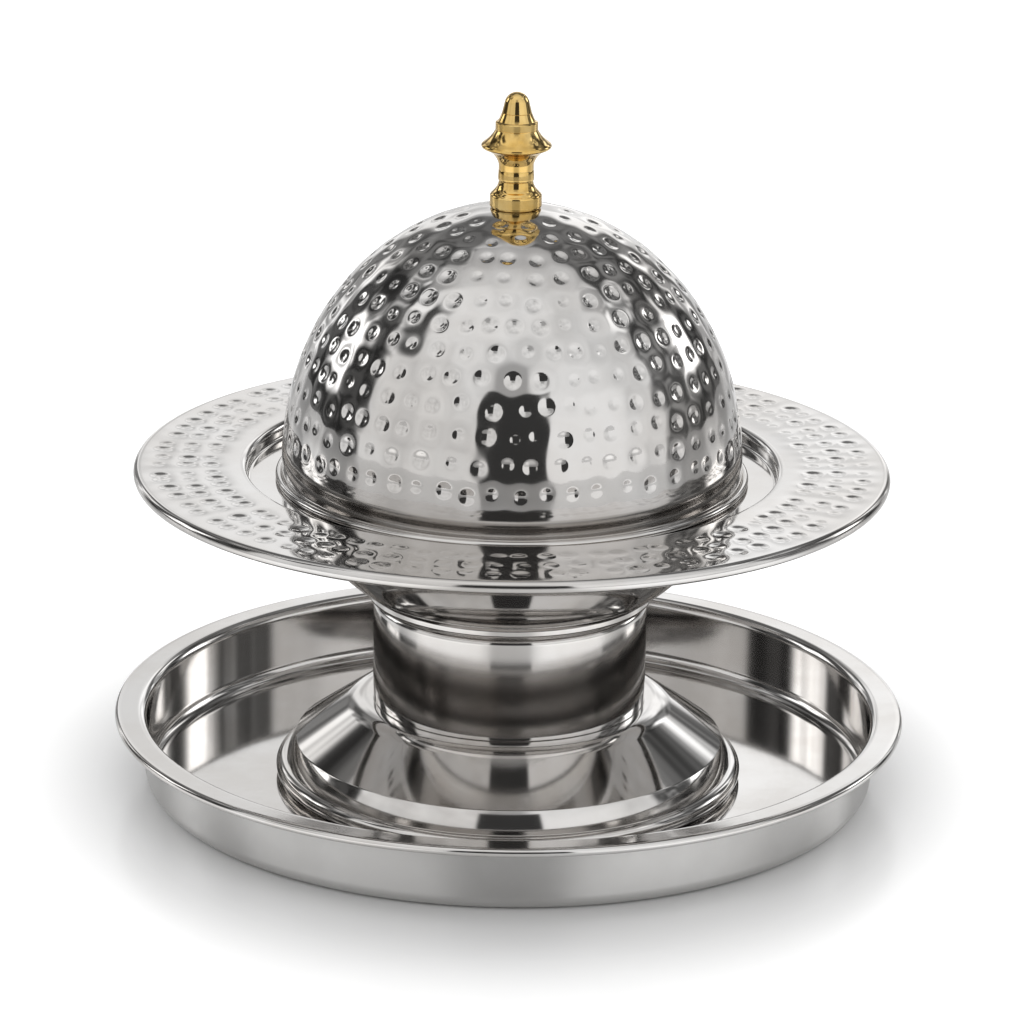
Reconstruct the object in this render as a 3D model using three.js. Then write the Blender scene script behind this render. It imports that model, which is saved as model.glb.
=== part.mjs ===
// Covered date bowl on a pedestal, standing in a round tray. Millimetres, +Z up.
// Every sheet piece is spun: a section in the (radius, height) half plane, turned about the Z axis.
// Each piece is drawn from its own seat at height 0 and set on the piece that carries it.

import * as THREE from 'three';

// Sides of a turned piece: large shells, the finial, and the small hardware
const SHELL_SIDES = 40;
const DOME_RINGS = 11; // steps of the dome's curve
const FINIAL_SIDES = 24;
const HARDWARE_SIDES = 16;

// Clearances
const SEAT_GAP = 0.05; // hairline between two stacked seats
const SPIGOT_GAP = 0.4; // foot's spigot inside the column's lower end, per side
const PLATE_GAP = 0.5; // stud plate inside the column's top opening, per side
const HOLE_GAP = 0.5; // a hole round its stud or screw, per side
const THREAD_GAP = 0.3; // a threaded bore round its stud or screw, per side

// Tray
const TRAY_SHEET = 0.9;
const TRAY_RIM_RADIUS = 160;
const TRAY_DEPTH = 30;
const TRAY_WALL_RADIUS = 148; // outer face of the wall
const TRAY_CORNER = 6; // outer radius of the bend from floor to wall
const TRAY_SHOULDER = 3.7; // upper radius of the bend from wall to flange
const TRAY_BEAD = 1.65; // radius of the rolled edge

// Foot
const FOOT_SHEET = 0.9;
const FOOT_CURL_RADIUS = 94.7; // outermost line of the foot
const FOOT_CURL = 3.7; // radius of the curled base edge
const FOOT_CURL_START = 98; // degrees from outward, where the wall meets the curl
const FOOT_LIP = 3; // flat the foot stands on, turned in under the curl
const FOOT_CREASE_RADIUS = 86.7; // edge between the wall and the cone
const FOOT_CREASE_HEIGHT = 16;
const FOOT_WALL_BOW = 40; // radius of the wall's slight outward bow
const FOOT_LEDGE_HEIGHT = 33.1; // narrow ledge that the column stands on
const FOOT_LEDGE_WIDTH = 6.8; // from the column's face to where ledge and cone would meet
const FOOT_LEDGE_ROUND = 5; // radius of the soft bend from the ledge to the cone
const SPIGOT_HEIGHT = 1.6; // rise of the closed top above the ledge
const SPIGOT_CORNER = 1.5;

// Column
const COLUMN_SHEET = 0.9;
const COLUMN_RADIUS = 55.3;
const COLUMN_HEIGHT = 43;
const COLUMN_CORNER = 3; // outer radius at the turned-in top

// Lid
const DOME_SHEET = 0.9;
const DOME_RADIUS = 92.2;
const DOME_RISE = 103; // from its widest circle to its top, as half an ellipse
const DOME_BAND = 8.7; // upright band below the widest circle
const DOME_BEAD = 1.4; // radius of the rolled edge
const DOME_BEAD_PROUD = 2.6; // how far the rolled edge stands out from the band
const DOME_BEAD_ROUND = 50; // degrees from where the band meets the bead to the bead's next corner
const DOME_FLAT = 9.5; // radius of the flat that the finial stands on

// Dish
const DISH_SHEET = 0.9;
const DISH_BASE_RADIUS = 57.5; // low ring it stands on
const DISH_BASE_HEIGHT = 4;
const DISH_BASE_CORNER = 2;
const WELL_BOW = 80; // radius of the well's outer face, in section
const LEDGE_LAP = 0.2; // how far inside the outside of the lid's band the flat ledge begins
const LEDGE_SHOWING = 11.2; // width of the ledge outside the lid's rolled edge
const LEDGE_HEIGHT = 50; // top of the ledge above the dish's seat
const LEDGE_BEND = 1.9;
const LEDGE_BEND_START = 163; // degrees from outward, where the well's side meets the bend
const STEP_FILLET = 1.5;
const STEP_EDGE = 2.9; // rounding from the short wall to the rim
const RIM_RISE = 6; // rim above the ledge
const RIM_RADIUS = 151.5;
const RIM_CURL = 2.6; // radius of the rim's curled edge
const RIM_CURL_END = -130; // degrees from outward, where the curl stops under the rim

// Finial, as turned: radii and their heights above its seat
const FINIAL_BASE_RADIUS = 9.6;
const FINIAL_BASE_ROUND = 1.3;
const FINIAL_COLLAR_RADIUS = 10.3;
const FINIAL_COLLAR_LOW = 0.9;
const FINIAL_COLLAR_HIGH = 4.8;
const FINIAL_SHOULDER_RADIUS = 8.4; // inner end of the collar's sloping top
const FINIAL_SHOULDER_HEIGHT = 7.2;
const FINIAL_SHOULDER_ROUND = 4;
const FINIAL_NECK_COVE = 6; // hollow curve from the collar's top to the neck
const FINIAL_NECK_RADIUS = 6.85;
const FINIAL_NECK_LOW = 10.9;
const FINIAL_NECK_SWELL = 0.25; // low ring on the neck
const FINIAL_SWELL_HEIGHT = 12.8;
const FINIAL_NECK_HIGH = 17.4;
const FINIAL_UNDERCUT = 9; // hollow curve from the neck to the lip
const FINIAL_LIP_RADIUS = 13.9;
const FINIAL_LIP_LOW = 24.5;
const FINIAL_LIP_HIGH = 25.3;
const FINIAL_FLARE_COVE = 15; // hollow curve from the lip to the waist
const FINIAL_WAIST_RADIUS = 8.4;
const FINIAL_WAIST_LOW = 31.6;
const FINIAL_WAIST_HIGH = 34.3;
const FINIAL_STEP = 1.1; // width of the small step above the waist, twice its height
const FINIAL_CREASE_RADIUS = 5.85;
const FINIAL_CREASE_HEIGHT = 38.3;
const FINIAL_TIP_RADIUS = 4.7; // where the rounded tip begins
const FINIAL_TIP_HEIGHT = 43;
const FINIAL_HEIGHT = 46.3;
const FINIAL_BORE_DEPTH = 13;

// Fastening of the dish: a stud on a plate under the dish, through the column and the foot
const STUD_RADIUS = 3;
const STUD_PLATE_RADIUS = 18;
const STUD_PLATE_THICKNESS = 1.5;
const STUD_PAST_NUT = 2;
const WASHER_RADIUS = 16;
const WASHER_THICKNESS = 1.6;
const NUT_ACROSS_FLATS = 10;
const NUT_HEIGHT = 5;

// Fastening of the finial: a pan-head screw and a washer from inside the lid
const SCREW_RADIUS = 2;
const SCREW_IN_FINIAL = 10;
const SCREW_HEAD_RADIUS = 3.8;
const SCREW_HEAD_HEIGHT = 2.6;
const SCREW_HEAD_FLAT = 2.7; // radius of the flat end of the head
const SCREW_HEAD_EDGE = 1.3; // height of the head's upright edge
const LID_WASHER_RADIUS = 7;
const LID_WASHER_THICKNESS = 1;

// The lid's rolled edge and the ledge it stands on
const DOME_EDGE_RADIUS = DOME_RADIUS + DOME_BEAD_PROUD;
const WELL_MOUTH_RADIUS = DOME_RADIUS - LEDGE_LAP;
const STEP_RADIUS = DOME_EDGE_RADIUS + LEDGE_SHOWING; // inside of the short wall round the ledge

// Seats, each on the piece below
const FOOT_SEAT = TRAY_SHEET + SEAT_GAP;
const COLUMN_SEAT = FOOT_SEAT + FOOT_LEDGE_HEIGHT + SEAT_GAP;
const DISH_SEAT = COLUMN_SEAT + COLUMN_HEIGHT + SEAT_GAP;
const LID_SEAT = DISH_SEAT + LEDGE_HEIGHT + SEAT_GAP;
const domeHeightAt = (radius) => DOME_BAND + DOME_RISE * Math.sqrt(1 - (radius / DOME_RADIUS) ** 2);
const FINIAL_SEAT = LID_SEAT + domeHeightAt(DOME_FLAT) + SEAT_GAP;

// Materials
const STEEL = 0xc9c8c5;
const GOLDEN = 0xd9a441;
const metal = (color, roughness) => new THREE.MeshStandardMaterial({ color, roughness, metalness: 1 });
const polishedSteel = metal(STEEL, 0.08);
const hammeredSteel = metal(STEEL, 0.14);
const satinSteel = metal(STEEL, 0.32);
const platedSteel = metal(STEEL, 0.25);
const brass = metal(GOLDEN, 0.12);

const point = (radius, height) => new THREE.Vector2(radius, height);

/** Points of an arc about a centre. Angles are in degrees from outward, positive upward. */
function arc(centre, radius, from, to, steps = 4) {
  return Array.from({ length: steps + 1 }, (_, i) => {
    const angle = THREE.MathUtils.degToRad(from + ((to - from) * i) / steps);
    return point(centre.x + radius * Math.cos(angle), centre.y + radius * Math.sin(angle));
  });
}

/** Points of an arc of the given radius between two points, with its belly on the right of the way. */
function bow(start, end, radius, steps = 4) {
  const half = start.distanceTo(end) / 2;
  const along = end.clone().sub(start).normalize();
  const right = point(along.y, -along.x);
  const toCentre = -Math.sqrt(Math.max(radius ** 2 - half ** 2, 0));
  const centre = start.clone().lerp(end, 0.5).addScaledVector(right, toCentre);
  const sweep = 2 * Math.asin(Math.min(half / radius, 1));
  return Array.from({ length: steps + 1 }, (_, i) =>
    start.clone().rotateAround(centre, (sweep * i) / steps));
}

/** The same arc with its belly on the left of the way. */
const hollow = (start, end, radius, steps = 4) => bow(end, start, radius, steps).reverse();

/** A drawn line moved to its right by the sheet's thickness, with mitred corners. */
function offset(line, thickness) {
  const normals = line.slice(1).map((end, i) => {
    const way = end.clone().sub(line[i]).normalize();
    return point(way.y, -way.x);
  });
  return line.map((corner, i) => {
    const before = normals[Math.max(i - 1, 0)];
    const after = normals[Math.min(i, normals.length - 1)];
    const mitre = before.clone().add(after).normalize();
    return corner.clone().addScaledVector(mitre, thickness / mitre.dot(after));
  });
}

/**
 * Section of a sheet, anticlockwise: its hidden face, any solid edge at the end, and its drawn face back.
 * The drawn face runs outward from the axis and has the sheet's thickness on its right.
 */
function sheetSection(face, thickness, edge = []) {
  return [...offset(face, thickness), ...[...face, ...edge].reverse()];
}

/** Turns an anticlockwise section about Z. One that doesn't begin on the axis is closed into a ring. */
function turned(section, sides) {
  const closed = section[0].x > 0 ? [...section, section[0].clone()] : section;
  return new THREE.LatheGeometry(closed, sides).rotateX(Math.PI / 2);
}

function part(name, geometry, material, height = 0) {
  const mesh = new THREE.Mesh(geometry, material);
  mesh.name = name;
  mesh.position.z = height;
  return mesh;
}

function tray() {
  const bendRadius = TRAY_CORNER - TRAY_SHEET;
  const innerWall = TRAY_WALL_RADIUS - TRAY_SHEET;
  const corner = point(innerWall - bendRadius, TRAY_SHEET + bendRadius);
  const shoulder = point(innerWall + TRAY_SHOULDER, TRAY_DEPTH - TRAY_SHOULDER);
  const bead = point(TRAY_RIM_RADIUS - TRAY_BEAD, TRAY_DEPTH - TRAY_BEAD);
  const belowCentre = TRAY_BEAD - TRAY_SHEET;
  const beadStart = bead.x - Math.sqrt(TRAY_BEAD ** 2 - belowCentre ** 2);
  const face = [
    point(0, TRAY_SHEET),
    ...arc(corner, bendRadius, -90, 0, 3),
    ...arc(shoulder, TRAY_SHOULDER, 180, 90, 3),
    point(beadStart, TRAY_DEPTH),
  ];
  const section = sheetSection(face, TRAY_SHEET, arc(bead, TRAY_BEAD, 90, -180, 6));
  return part('tray', turned(section, SHELL_SIDES), satinSteel);
}

function foot() {
  const spigotRadius = COLUMN_RADIUS - COLUMN_SHEET - SPIGOT_GAP;
  const top = FOOT_LEDGE_HEIGHT + SPIGOT_HEIGHT;
  const spigotCorner = point(spigotRadius - SPIGOT_CORNER, top - SPIGOT_CORNER);
  const ledgeCorner = point(COLUMN_RADIUS + FOOT_LEDGE_WIDTH, FOOT_LEDGE_HEIGHT);
  const crease = point(FOOT_CREASE_RADIUS, FOOT_CREASE_HEIGHT);
  const downCone = crease.clone().sub(ledgeCorner).normalize();
  const bendReach = FOOT_LEDGE_ROUND * Math.tan(Math.acos(downCone.x) / 2);
  const ledgeEnd = point(ledgeCorner.x - bendReach, FOOT_LEDGE_HEIGHT);
  const coneStart = ledgeCorner.clone().addScaledVector(downCone, bendReach);
  const curl = point(FOOT_CURL_RADIUS - FOOT_CURL, FOOT_CURL);
  const curlRoll = arc(curl, FOOT_CURL, FOOT_CURL_START, -90, 5);
  const face = [
    point(STUD_RADIUS + HOLE_GAP, top),
    ...arc(spigotCorner, SPIGOT_CORNER, 90, 0, 1),
    point(spigotRadius, FOOT_LEDGE_HEIGHT),
    ...hollow(ledgeEnd, coneStart, FOOT_LEDGE_ROUND, 3),
    ...hollow(crease, curlRoll[0], FOOT_WALL_BOW, 2),
    ...curlRoll.slice(1),
    point(curl.x - FOOT_LIP, 0),
  ];
  return part('foot', turned(sheetSection(face, FOOT_SHEET), SHELL_SIDES), polishedSteel, FOOT_SEAT);
}

function column() {
  const topCorner = point(COLUMN_RADIUS - COLUMN_CORNER, COLUMN_HEIGHT - COLUMN_CORNER);
  const face = [
    point(STUD_PLATE_RADIUS + PLATE_GAP, COLUMN_HEIGHT),
    ...arc(topCorner, COLUMN_CORNER, 90, 0, 2),
    point(COLUMN_RADIUS, 0),
  ];
  return part('column', turned(sheetSection(face, COLUMN_SHEET), SHELL_SIDES), polishedSteel, COLUMN_SEAT);
}

function dish() {
  const baseBend = DISH_BASE_CORNER - DISH_SHEET;
  const baseCorner = point(DISH_BASE_RADIUS - DISH_BASE_CORNER, DISH_BASE_CORNER);
  const ledgeBend = point(WELL_MOUTH_RADIUS, LEDGE_HEIGHT - LEDGE_BEND);
  const ledgeRound = arc(ledgeBend, LEDGE_BEND, LEDGE_BEND_START, 90, 2);
  const wellStart = point(DISH_BASE_RADIUS, DISH_BASE_HEIGHT + DISH_SHEET);
  const stepFillet = point(STEP_RADIUS - STEP_FILLET, LEDGE_HEIGHT + STEP_FILLET);
  const rimHeight = LEDGE_HEIGHT + RIM_RISE;
  const stepEdge = point(STEP_RADIUS + STEP_EDGE, rimHeight - STEP_EDGE);
  const rimCurl = point(RIM_RADIUS - RIM_CURL, rimHeight - RIM_CURL);
  const face = [
    point(0, DISH_SHEET),
    ...arc(baseCorner, baseBend, -90, 0, 2),
    point(DISH_BASE_RADIUS - DISH_SHEET, DISH_BASE_HEIGHT),
    ...bow(wellStart, ledgeRound[0], WELL_BOW - DISH_SHEET, 5).slice(0, -1),
    ...ledgeRound,
    ...arc(stepFillet, STEP_FILLET, -90, 0, 1),
    ...arc(stepEdge, STEP_EDGE, 180, 90, 2),
    ...arc(rimCurl, RIM_CURL, 90, RIM_CURL_END, 5),
  ];
  return part('dish', turned(sheetSection(face, DISH_SHEET), SHELL_SIDES), hammeredSteel, DISH_SEAT);
}

function lidDome() {
  const bead = point(DOME_EDGE_RADIUS - DOME_BEAD, DOME_BEAD);
  const beadInside = DOME_RADIUS - bead.x;
  const beadTop = Math.sqrt(DOME_BEAD ** 2 - beadInside ** 2);
  const beadStart = THREE.MathUtils.radToDeg(Math.atan2(beadTop, beadInside));
  const flatAngle = Math.asin(DOME_FLAT / DOME_RADIUS);
  const shell = Array.from({ length: DOME_RINGS + 1 }, (_, i) => {
    const angle = flatAngle + ((Math.PI / 2 - flatAngle) * i) / DOME_RINGS;
    return point(DOME_RADIUS * Math.sin(angle), DOME_BAND + DOME_RISE * Math.cos(angle));
  });
  const face = [
    point(SCREW_RADIUS + HOLE_GAP, domeHeightAt(DOME_FLAT)),
    ...shell,
    point(DOME_RADIUS, bead.y + beadTop),
  ];
  const edge = [
    ...arc(bead, DOME_BEAD, beadStart - DOME_BEAD_ROUND, -90, 3),
    point(DOME_RADIUS - DOME_SHEET, 0),
  ];
  return part('lid_dome', turned(sheetSection(face, DOME_SHEET, edge), SHELL_SIDES), hammeredSteel, LID_SEAT);
}

function finial() {
  const collar = point(FINIAL_COLLAR_RADIUS, FINIAL_COLLAR_LOW);
  const collarTop = point(FINIAL_COLLAR_RADIUS, FINIAL_COLLAR_HIGH);
  const shoulder = point(FINIAL_SHOULDER_RADIUS, FINIAL_SHOULDER_HEIGHT);
  const neckLow = point(FINIAL_NECK_RADIUS, FINIAL_NECK_LOW);
  const neckHigh = point(FINIAL_NECK_RADIUS, FINIAL_NECK_HIGH);
  const lipLow = point(FINIAL_LIP_RADIUS, FINIAL_LIP_LOW);
  const lipHigh = point(FINIAL_LIP_RADIUS, FINIAL_LIP_HIGH);
  const waist = point(FINIAL_WAIST_RADIUS, FINIAL_WAIST_LOW);
  const tip = point(FINIAL_TIP_RADIUS, FINIAL_TIP_HEIGHT);
  const boreRadius = SCREW_RADIUS + THREAD_GAP;
  const tipRise = FINIAL_HEIGHT - FINIAL_TIP_HEIGHT;
  const tipRound = (FINIAL_TIP_RADIUS ** 2 + tipRise ** 2) / (2 * tipRise);
  const outline = [
    point(0, FINIAL_BORE_DEPTH),
    point(boreRadius, FINIAL_BORE_DEPTH),
    point(boreRadius, 0),
    ...bow(point(FINIAL_BASE_RADIUS, 0), collar, FINIAL_BASE_ROUND, 2),
    ...bow(collarTop, shoulder, FINIAL_SHOULDER_ROUND, 3),
    ...hollow(shoulder, neckLow, FINIAL_NECK_COVE, 3).slice(1),
    point(FINIAL_NECK_RADIUS + FINIAL_NECK_SWELL, FINIAL_SWELL_HEIGHT),
    ...hollow(neckHigh, lipLow, FINIAL_UNDERCUT),
    ...hollow(lipHigh, waist, FINIAL_FLARE_COVE),
    point(FINIAL_WAIST_RADIUS, FINIAL_WAIST_HIGH),
    point(FINIAL_WAIST_RADIUS - FINIAL_STEP, FINIAL_WAIST_HIGH + FINIAL_STEP / 2),
    point(FINIAL_CREASE_RADIUS, FINIAL_CREASE_HEIGHT),
    ...bow(tip, point(0, FINIAL_HEIGHT), tipRound, 3),
  ];
  return part('finial', turned(outline, FINIAL_SIDES), brass, FINIAL_SEAT);
}

/** A flat round washer, standing on height 0. */
function washer(name, radius, hole, thickness, height) {
  const section = [point(hole, 0), point(radius, 0), point(radius, thickness), point(hole, thickness)];
  return part(name, turned(section, HARDWARE_SIDES), platedSteel, height);
}

// Heights of the stack under the foot's closed top
const FOOT_TOP_UNDERSIDE = FOOT_SEAT + FOOT_LEDGE_HEIGHT + SPIGOT_HEIGHT - FOOT_SHEET;
const FOOT_WASHER_BOTTOM = FOOT_TOP_UNDERSIDE - SEAT_GAP - WASHER_THICKNESS;
const NUT_BOTTOM = FOOT_WASHER_BOTTOM - SEAT_GAP - NUT_HEIGHT;

function dishStud() {
  const top = DISH_SEAT - SEAT_GAP;
  const bottom = NUT_BOTTOM - STUD_PAST_NUT;
  const plateUnderside = top - STUD_PLATE_THICKNESS - bottom;
  const outline = [
    point(0, 0),
    point(STUD_RADIUS, 0),
    point(STUD_RADIUS, plateUnderside),
    point(STUD_PLATE_RADIUS, plateUnderside),
    point(STUD_PLATE_RADIUS, top - bottom),
    point(0, top - bottom),
  ];
  return part('dish_stud', turned(outline, HARDWARE_SIDES), platedSteel, bottom);
}

function footNut() {
  const shape = new THREE.Shape(Array.from({ length: 6 }, (_, i) => {
    const angle = (Math.PI / 3) * i;
    const corner = NUT_ACROSS_FLATS / Math.sqrt(3);
    return point(corner * Math.cos(angle), corner * Math.sin(angle));
  }));
  shape.holes.push(new THREE.Path().absarc(0, 0, STUD_RADIUS + THREAD_GAP, 0, 2 * Math.PI, true));
  const settings = { depth: NUT_HEIGHT, bevelEnabled: false, curveSegments: HARDWARE_SIDES };
  return part('foot_nut', new THREE.ExtrudeGeometry(shape, settings), platedSteel, NUT_BOTTOM);
}

// Heights of the stack under the dome's flat
const DOME_FLAT_UNDERSIDE = FINIAL_SEAT - SEAT_GAP - DOME_SHEET;
const LID_WASHER_BOTTOM = DOME_FLAT_UNDERSIDE - SEAT_GAP - LID_WASHER_THICKNESS;

function finialScrew() {
  const bottom = LID_WASHER_BOTTOM - SEAT_GAP - SCREW_HEAD_HEIGHT;
  const tip = FINIAL_SEAT + SCREW_IN_FINIAL - bottom;
  const outline = [
    point(0, 0),
    point(SCREW_HEAD_FLAT, 0),
    point(SCREW_HEAD_RADIUS, SCREW_HEAD_HEIGHT - SCREW_HEAD_EDGE),
    point(SCREW_HEAD_RADIUS, SCREW_HEAD_HEIGHT),
    point(SCREW_RADIUS, SCREW_HEAD_HEIGHT),
    point(SCREW_RADIUS, tip),
    point(0, tip),
  ];
  return part('finial_screw', turned(outline, HARDWARE_SIDES), platedSteel, bottom);
}

const stand = new THREE.Group();
stand.add(
  foot(),
  column(),
  dish(),
  dishStud(),
  washer('foot_washer', WASHER_RADIUS, STUD_RADIUS + HOLE_GAP, WASHER_THICKNESS, FOOT_WASHER_BOTTOM),
  footNut(),
);

const lid = new THREE.Group();
lid.add(
  lidDome(),
  finial(),
  washer('lid_washer', LID_WASHER_RADIUS, SCREW_RADIUS + HOLE_GAP, LID_WASHER_THICKNESS, LID_WASHER_BOTTOM),
  finialScrew(),
);

const dateBowl = new THREE.Group();
dateBowl.add(tray(), stand, lid);

export default dateBowl;
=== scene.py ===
# %% [markdown]
# # A covered date bowl in hammered steel
#
# The real object is spun and pressed sheet metal: a shallow tray, a foot, a column, a wide-rimmed
# dish, a hammered lid and one turned brass knob, held together by a stud and a screw that nobody
# sees. The packed CAD model gives the size and place of every piece. This script gives each one
# its fine surface, and it is written as a lesson: a note first, then a short cell that makes what
# the note says. All lengths are worked out in millimetres, as a metal spinner would, and become
# metres in the mesh.

# %% Load the packed model
import math

import bpy
import numpy as np
from mathutils import Matrix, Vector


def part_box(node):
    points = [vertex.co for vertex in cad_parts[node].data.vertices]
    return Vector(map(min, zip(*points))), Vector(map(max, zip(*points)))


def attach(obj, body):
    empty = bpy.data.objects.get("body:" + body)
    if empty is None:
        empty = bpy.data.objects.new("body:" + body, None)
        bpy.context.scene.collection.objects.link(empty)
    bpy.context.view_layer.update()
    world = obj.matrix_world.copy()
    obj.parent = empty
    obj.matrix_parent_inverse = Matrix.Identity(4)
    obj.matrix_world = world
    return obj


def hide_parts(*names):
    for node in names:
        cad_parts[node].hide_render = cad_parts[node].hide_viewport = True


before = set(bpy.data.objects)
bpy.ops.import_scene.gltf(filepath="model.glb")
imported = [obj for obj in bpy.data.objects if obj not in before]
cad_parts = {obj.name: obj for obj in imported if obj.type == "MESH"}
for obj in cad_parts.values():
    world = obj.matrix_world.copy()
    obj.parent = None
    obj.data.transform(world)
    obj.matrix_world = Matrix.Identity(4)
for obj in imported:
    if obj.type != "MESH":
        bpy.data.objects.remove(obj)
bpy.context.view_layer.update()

MM = 0.001


def seat(node):
    """Height of a CAD node's lowest point, in millimetres: each piece is drawn up from it."""
    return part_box(node)[0].z / MM


print("CAD nodes:", sorted(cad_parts))

# %% [markdown]
# ## The camera first
#
# A render can only be laid over a photograph if the camera stands where the photographer stood. It
# could be set by eye, but the two big ellipses, the tray's rim and the dish's rim, fix it: their
# flatness gives the height, and how much the far side shrinks gives the distance. The lens is
# long, the view is 20 degrees down, and a small tilt, pan and roll put the object where it lies in
# the frame.

# %% Camera
DISTANCE = 1.92          # metres from the middle of the tray's rim
RIM_PLANE = 0.03         # height of the tray's rim
FOCAL_PIXELS = 4705.4    # focal length in pixels of a 1024-pixel frame
FRAME_PIXELS = 1024
SENSOR = 36.0
PITCH, TILT, PAN, ROLL = 0.35220, 0.04068, 0.00013, 0.01408


def swung(a, b, angle):
    """Two square directions swung round in their own plane."""
    return a * math.cos(angle) + b * math.sin(angle), b * math.cos(angle) - a * math.sin(angle)


right = np.array([1.0, 0.0, 0.0])
forward = np.array([0.0, math.cos(PITCH), -math.sin(PITCH)])
up = np.array([0.0, math.sin(PITCH), math.cos(PITCH)])
forward, up = swung(forward, up, TILT)
forward, right = swung(forward, right, PAN)
right, up = swung(right, up, ROLL)
place = np.array([0.0, -DISTANCE * math.cos(PITCH), RIM_PLANE + DISTANCE * math.sin(PITCH)])

camera = bpy.data.objects.new("camera", bpy.data.cameras.new("camera"))
camera.data.sensor_width = SENSOR
camera.data.lens = FOCAL_PIXELS * SENSOR / FRAME_PIXELS
camera.data.clip_end = 50
pose = np.eye(4)
pose[:3] = np.column_stack([right, up, -forward, place])
camera.matrix_world = Matrix(pose.tolist())
bpy.context.scene.collection.objects.link(camera)
bpy.context.scene.camera = camera
print(f"camera at {place.round(3)} m, lens {camera.data.lens:.1f} mm")

# %% [markdown]
# ## Lines that a spinner would draw
#
# Every shell here is a thin section turned about an upright axis. Blender's Spin tool or a Screw
# modifier would turn a drawn curve, but a section written as numbers can repeat the CAD model's
# own sizes, so the sections are lists of (radius, height). The CAD arcs have a few steps each;
# these have one every 5 degrees, because polished metal shows every facet in what it mirrors.

# %% Arcs and bows
ARC_STEP = 5.0  # degrees


def arc(centre, radius, start, end, step=ARC_STEP):
    """Points of an arc, with angles in degrees from outward, positive upward."""
    count = max(2, math.ceil(abs(end - start) / step))
    angles = np.radians(np.linspace(start, end, count + 1))
    return [(centre[0] + radius * math.cos(a), centre[1] + radius * math.sin(a)) for a in angles]


def bow(start, end, radius, steps=12):
    """Points of an arc of that radius between two points, its belly on the right of the way."""
    start, end = np.array(start, float), np.array(end, float)
    half = np.linalg.norm(end - start) / 2
    along = (end - start) / (2 * half)
    to_right = np.array([along[1], -along[0]])
    centre = (start + end) / 2 - to_right * math.sqrt(max(radius**2 - half**2, 0))
    first = math.atan2(*(start - centre)[::-1])
    sweep = 2 * math.asin(min(half / radius, 1))
    angles = first + np.linspace(0, sweep, steps + 1)
    return [tuple(centre + radius * np.array([math.cos(a), math.sin(a)])) for a in angles]


def hollow(start, end, radius, steps=12):
    """The same arc with its belly on the left of the way."""
    return bow(end, start, radius, steps)[::-1]


print("points on a quarter circle:", len(arc((0, 0), 10, 0, 90)))

# %% [markdown]
# ## From a line to sheet metal
#
# Only one face of the sheet is drawn. The other lies one sheet's thickness to its right, with
# mitred corners. A Solidify modifier would do that too, but here the thickness has to follow each
# hammer dent as well, so both faces are made from the same drawn line. Beside a long flat, two
# extra points hold the shading flat: without them the smooth bend next to it would tint the whole
# flat.

# %% Sheet sections
HOLD = 0.25   # mm from a corner to its holding point
LONG = 2.5    # mm: a straight stretch from which holding points are worth it


def held(line):
    """The line with a holding point near each end of its long straight stretches."""
    points = [line[0]]
    for before, after in zip(line, line[1:]):
        a, b = np.array(before), np.array(after)
        length = np.linalg.norm(b - a)
        if length > LONG:
            points += [tuple(a + (b - a) * HOLD / length), tuple(b - (b - a) * HOLD / length)]
        points.append(after)
    return points


def mitres(line):
    """For each point of a line: the way into the sheet, and how many thicknesses its mitre is."""
    line = np.array(line, float)
    way = np.diff(line, axis=0)
    way /= np.linalg.norm(way, axis=1)[:, None]
    side = np.column_stack([way[:, 1], -way[:, 0]])
    before, after = np.vstack([side[:1], side]), np.vstack([side, side[-1:]])
    mitre = before + after
    mitre /= np.linalg.norm(mitre, axis=1)[:, None]
    return mitre, 1 / (mitre * after).sum(1)


def sheet(face, thickness, edge=()):
    """Section of a sheet, anticlockwise: its hidden face, its edge, and its drawn face back."""
    mitre, longer = mitres(face)
    hidden = np.array(face) + mitre * (longer * thickness)[:, None]
    return [tuple(p) for p in hidden] + [*face, *edge][::-1]


print("points on a flat strip's section:", len(sheet([(0, 1), (10, 1)], 1)))

# %% [markdown]
# ## Joining rings
#
# When a section is turned, each of its points becomes a ring of vertices, and neighbouring rings
# are joined by quads. The hammered faces need many more vertices round than the plain ones, so a
# ring may have two or four times as many sides as the next, and fans of triangles join them. A
# Subdivision Surface modifier would make the whole sheet equally fine, most of it for nothing.

# %% Ribbons of faces


def ribbon(low, low_sides, high, high_sides):
    """Faces between two rings of vertices, the second of which follows in the section."""
    j = np.arange(max(low_sides, high_sides))
    if low_sides == high_sides:
        k = (j + 1) % low_sides
        return [np.column_stack([low + j, low + k, high + k, high + j])]
    if low_sides == 1:
        return [np.column_stack([np.full_like(j, low), high + (j + 1) % high_sides, high + j])]
    if high_sides == 1:
        return [np.column_stack([low + j, low + (j + 1) % low_sides, np.full_like(j, high)])]
    fine, fine_sides, rough, rough_sides = low, low_sides, high, high_sides
    if low_sides < high_sides:
        fine, fine_sides, rough, rough_sides = high, high_sides, low, low_sides
    ratio = fine_sides // rough_sides
    nearest = ((j + ratio // 2) // ratio) % rough_sides
    fans = np.column_stack([fine + j, fine + (j + 1) % fine_sides, rough + nearest])
    i = np.arange(rough_sides)
    gaps = np.column_stack([fine + i * ratio + ratio // 2,
                            rough + (i + 1) % rough_sides, rough + i])
    if fine == high:
        fans, gaps = fans[:, ::-1], gaps[:, ::-1]
    return [fans, gaps]


print("faces between rings of 8 and 4:", sum(map(len, ribbon(0, 8, 8, 4))))

# %% [markdown]
# ## From arrays to an object
#
# A mesh is vertices, corners and faces. Here it is written straight from arrays, which takes a
# second where bmesh calls, one for each vertex, would take minutes. Edges sharper than 32 degrees
# stay crisp, and everything else is shaded smooth.

# %% Mesh from arrays
SHARP = math.radians(32)


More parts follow.
